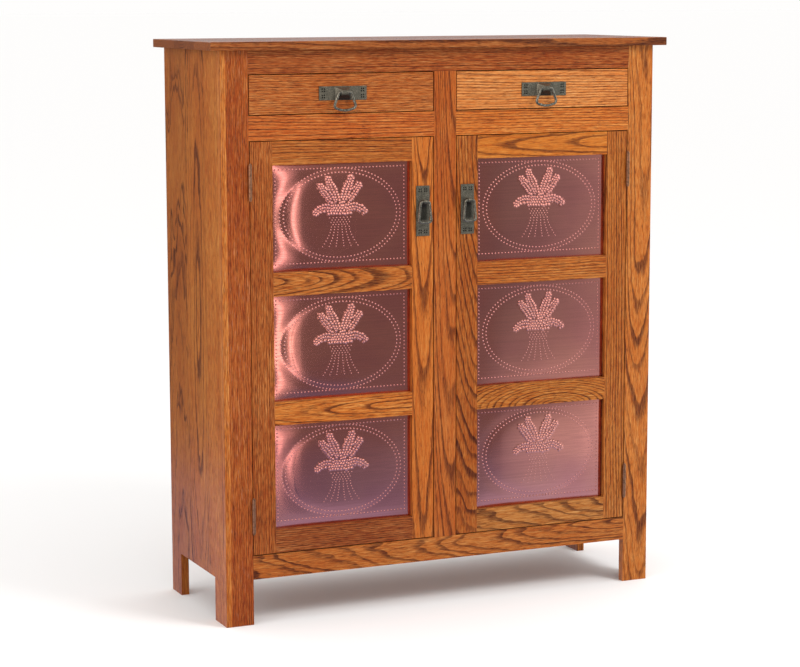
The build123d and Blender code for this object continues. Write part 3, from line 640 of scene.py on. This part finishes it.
def make_sheet(name, node_name, layout, rng, materials):
    """One punched sheet in place of a plain CAD panel."""
    flat, lifts, faces = layout
    low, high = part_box(node_name)
    middle = (low + high) / 2
    phase = Vector((rng.uniform(0, 50), rng.uniform(0, 50), 0))
    swelling = SWELLING.get(name, LEAST_SWELLING)
    front = low.y
    vertices = []
    for depth in (0.0, SHEET):
        for place, lift in zip(flat, lifts):
            soft = noise.noise(Vector((place.x / 90, place.y / 90, 0)) + phase) * 0.35
            edge = max(0.0, 1 - abs(place.x / 168) ** 8) * max(0.0, 1 - abs(place.y / 118) ** 8)
            out = swell(place.x, place.y) * swelling + soft * edge + lift
            y = front + (depth - out) * MM + 0.0001
            vertices.append((middle.x + place.x * MM, y, middle.z + place.y * MM))
    count = len(flat)
    polygons = [tuple(face) for face in faces]
    polygons += [tuple(i + count for i in reversed(face)) for face in faces]
    used = {}  # every edge as a face runs along it, in the order met
    for face in faces:
        for edge in zip(face, face[1:] + face[:1]):
            used[edge] = True
    for a, b in used:
        if (b, a) not in used:
            polygons.append((b, a, a + count, b + count))
    mesh = bpy.data.meshes.new(name)
    mesh.from_pydata(vertices, [], polygons)
    for polygon, face in zip(mesh.polygons, faces):
        polygon.material_index = int(sum(lifts[i] for i in face) > RUBBED)
    mesh.validate()
    mesh.shade_smooth()
    for material in materials:
        mesh.materials.append(material)
    piece = bpy.data.objects.new(f"{name}_punched_sheet", mesh)
    bpy.context.scene.collection.objects.link(piece)
    return piece


def make_copper():
    """The six punched sheets."""
    dark = copper_material("rose_copper", srgb(224, 138, 122), srgb(212, 126, 118))
    rubbed = copper_material("rubbed_copper", srgb(242, 166, 146), srgb(236, 154, 138))
    layout = None
    rng = random.Random(21)
    for hand, _ in HANDS:
        for level in LEVELS:
            node_name = f"{hand}_door_{level}_panel"
            low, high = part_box(node_name)
            if layout is None:
                half = ((high.x - low.x) / 2 / MM, (high.z - low.z) / 2 / MM)
                layout = sheet_layout(half)
            piece = make_sheet(f"{hand}_{level}", node_name, layout, rng, (dark, rubbed))
            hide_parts(node_name)
            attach(piece, f"{hand}_door")


# ---------------------------------------------------------------- the studio
def add_area(name, place, target, size, power):
    """A square softbox aimed at a point. The tent, not the lamp, is what gloss reflects."""
    light = bpy.data.lights.new(name, "AREA")
    light.size = size
    light.energy = power
    lamp = bpy.data.objects.new(name, light)
    lamp.location = place
    lamp.rotation_euler = (Vector(target) - Vector(place)).to_track_quat("-Z", "Y").to_euler()
    lamp.visible_camera = False
    lamp.visible_glossy = False
    bpy.context.scene.collection.objects.link(lamp)


def staged_mesh(name, vertices, faces, material):
    """A piece of the studio: not part of the object."""
    mesh = bpy.data.meshes.new(name)
    mesh.from_pydata(vertices, [], faces)
    mesh.materials.append(material)
    made = bpy.data.objects.new(name, mesh)
    bpy.context.scene.collection.objects.link(made)
    return made


def make_floor():
    """A plain pale floor that runs to the horizon."""
    material, _, shader = new_material("pale_floor")
    shader.inputs["Base Color"].default_value = (0.9, 0.9, 0.9, 1)
    shader.inputs["Roughness"].default_value = 1.0
    shader.inputs["Specular IOR Level"].default_value = 0.0
    far = 150.0
    corners = [(-far, -far, 0), (far, -far, 0), (far, far, 0), (-far, far, 0)]
    staged_mesh("floor", corners, [(0, 1, 2, 3)], material)


def only_glossy(card):
    """Hides a card from everything but reflections."""
    card.visible_camera = False
    card.visible_diffuse = False
    card.visible_shadow = False
    card.visible_transmission = False


def make_tent():
    """A dark ring of cards round the object, on a dark mat, with lit panels in it: gloss sees these."""
    material = bpy.data.materials.new("tent_cards")
    material.use_nodes = True
    material.node_tree.nodes.clear()
    g = Graph(material.node_tree)
    x, y, z = g.split(g.node("ShaderNodeNewGeometry").outputs["Position"])
    # The angle from straight in front, positive to the right.
    turn = g.math("ARCTAN2", x, g.math("MULTIPLY", y, -1.0))
    glow = TENT_DARK
    for start, end, soft, power in TENT_LIT:
        risen, fallen = g.remap(turn, start, start + soft), g.remap(turn, end - soft, end, 1.0, 0.0)
        glow = g.math("MULTIPLY_ADD", g.math("MULTIPLY", risen, fallen), power, glow)
    glow = g.math("ADD", glow, g.remap(z, 1.2, TENT_TOP, 0.0, 2.2))
    low = g.math("MULTIPLY", g.remap(z, 0.5, 0.0), g.remap(turn, 0.38, 0.60))  # near the floor
    glow = g.math("MULTIPLY_ADD", low, 0.45, glow)
    cool = g.mix(g.remap(turn, 0.40, 0.50), (1.0, 0.98, 0.96, 1), (0.88, 1.0, 1.06, 1))
    lamp = g.node("ShaderNodeEmission", {"Color": cool, "Strength": glow})
    g.node("ShaderNodeOutputMaterial", {0: lamp.outputs[0]})
    count = 96
    turns = [math.tau * i / count for i in range(count)]
    ring = [(math.sin(turn) * TENT_RADIUS, math.cos(turn) * TENT_RADIUS) for turn in turns]
    vertices = [(x, y, z) for z in (0.0, TENT_TOP) for x, y in ring]
    faces = [(i, (i + 1) % count, (i + 1) % count + count, i + count) for i in range(count)]
    only_glossy(staged_mesh("tent", vertices, faces, material))

    mat = bpy.data.materials.new("mat_card")
    mat.use_nodes = True
    mat.node_tree.nodes.clear()
    g = Graph(mat.node_tree)
    x, y, z = g.split(g.node("ShaderNodeNewGeometry").outputs["Position"])
    glow = g.math("MULTIPLY_ADD", g.remap(x, 0.3, 1.0), MAT_LIT, MAT_DARK)
    glow = g.math("ADD", glow, g.remap(y, -1.25, -0.8, 0.0, 0.34))
    cool = g.mix(g.remap(x, 0.2, 0.9), (0.85, 1.10, 1.72, 1), (0.81, 1.04, 1.27, 1))
    lamp = g.node("ShaderNodeEmission", {"Color": cool, "Strength": glow})
    g.node("ShaderNodeOutputMaterial", {0: lamp.outputs[0]})
    disc = [(x, y, 0.0005) for x, y in ring]
    only_glossy(staged_mesh("mat", disc, [tuple(reversed(range(count)))], mat))


def make_world():
    """A white sky, brighter overhead."""
    world = bpy.data.worlds.new("studio")
    world.use_nodes = True
    g = Graph(world.node_tree)
    up = g.split(g.node("ShaderNodeTexCoord").outputs["Generated"])[2]
    g.feed(world.node_tree.nodes["Background"].inputs[0], (1.0, 0.99, 0.98, 1))
    g.feed(world.node_tree.nodes["Background"].inputs[1], g.remap(up, 0.0, 1.0, SKY_LOW, SKY_HIGH))
    bpy.context.scene.world = world


def make_camera():
    """The viewpoint: to the left of the front, a little above the top."""
    camera = bpy.data.cameras.new("camera")
    camera.lens = 104.5
    camera.sensor_width = 36.0
    camera.clip_end = 400
    viewer = bpy.data.objects.new("camera", camera)
    yaw, pitch, roll = (math.radians(angle) for angle in (23.96, -8.376, 0.121))
    turn = Matrix.Rotation(-yaw, 4, "Z") @ Matrix.Rotation(math.pi / 2 + pitch, 4, "X")
    turn = turn @ Matrix.Rotation(-roll, 4, "Z")
    viewer.matrix_world = Matrix.Translation((-2.2744, -5.0438, 1.4355)) @ turn
    bpy.context.scene.collection.objects.link(viewer)
    bpy.context.scene.camera = viewer


TENT_RADIUS = 1.9
TENT_TOP = 2.6
TENT_DARK = 0.225
TENT_LIT = (  # from and to, in radians right of straight ahead, how soft the edges are, and how bright
    (-0.01, 0.065, 0.03, 3.0),
    (0.03, 0.14, 0.07, 0.60),
    (0.43, 2.00, 0.40, 0.38),
    (0.68, 0.85, 0.06, 0.30),
    (0.85, 2.00, 0.20, 0.60),
    (1.10, 2.00, 0.20, 1.50),
    (-2.00, -0.45, 0.25, 1.5),
)
MAT_DARK = 0.24
MAT_LIT = 0.42
SKY_LOW = 1.0
SKY_HIGH = 1.15


def make_studio():
    """The floor, the lights, what gloss sees, and the camera."""
    make_floor()
    make_tent()
    make_world()
    add_area("key", (1.9, -3.0, 3.6), (0.1, 0, 0.6), 1.6, 95)
    add_area("left_fill", (-4.0, -1.2, 1.7), (-0.5, 0, 0.7), 2.0, 26)
    make_camera()
    bpy.context.scene.view_settings.view_transform = "Standard"


# ---------------------------------------------------------------- put it together
dress_case()
dress_doors_and_drawers()

pewter = (srgb(93, 88, 77), srgb(136, 128, 111), 0.46, 0.0045)
rubbed = hammered_material("rubbed_bails", srgb(74, 70, 62), srgb(158, 150, 134), 0.28, 0.0035)
# The boxes given to the plates below are where shade behind each bail is painted.
plates = {
    "door": hammered_material("door_plates", *pewter, grime_and_shade=((0.057, 0.011), (0.934, 0.021))),
    "drawer": hammered_material("drawer_plates", *pewter, grime_and_shade=((0.255, 0.018), (1.200, 0.009))),
}
for hand, _ in HANDS:
    for part, material in plates.items():
        dress(f"{hand}_{part}_pull_plate", material)
        dress(f"{hand}_{part}_bail", rubbed)

bronze = plain_metal("antique_bronze", srgb(152, 106, 78), 0.4)
zinc = plain_metal("zinc_plate", srgb(190, 186, 178), 0.35)
for name in ("frame_hinge_leaves", "hinge_pins", "left_door_hinge_leaves", "right_door_hinge_leaves"):
    dress(name, bronze)
for name in NODES:
    if name.endswith(("hinge_screws", "strike_plate")) or name == "shelf_pins":
        dress(name, zinc)
dress("magnetic_catches", moulded_plastic("catch_brown", srgb(74, 50, 36)))

make_copper()
make_studio()
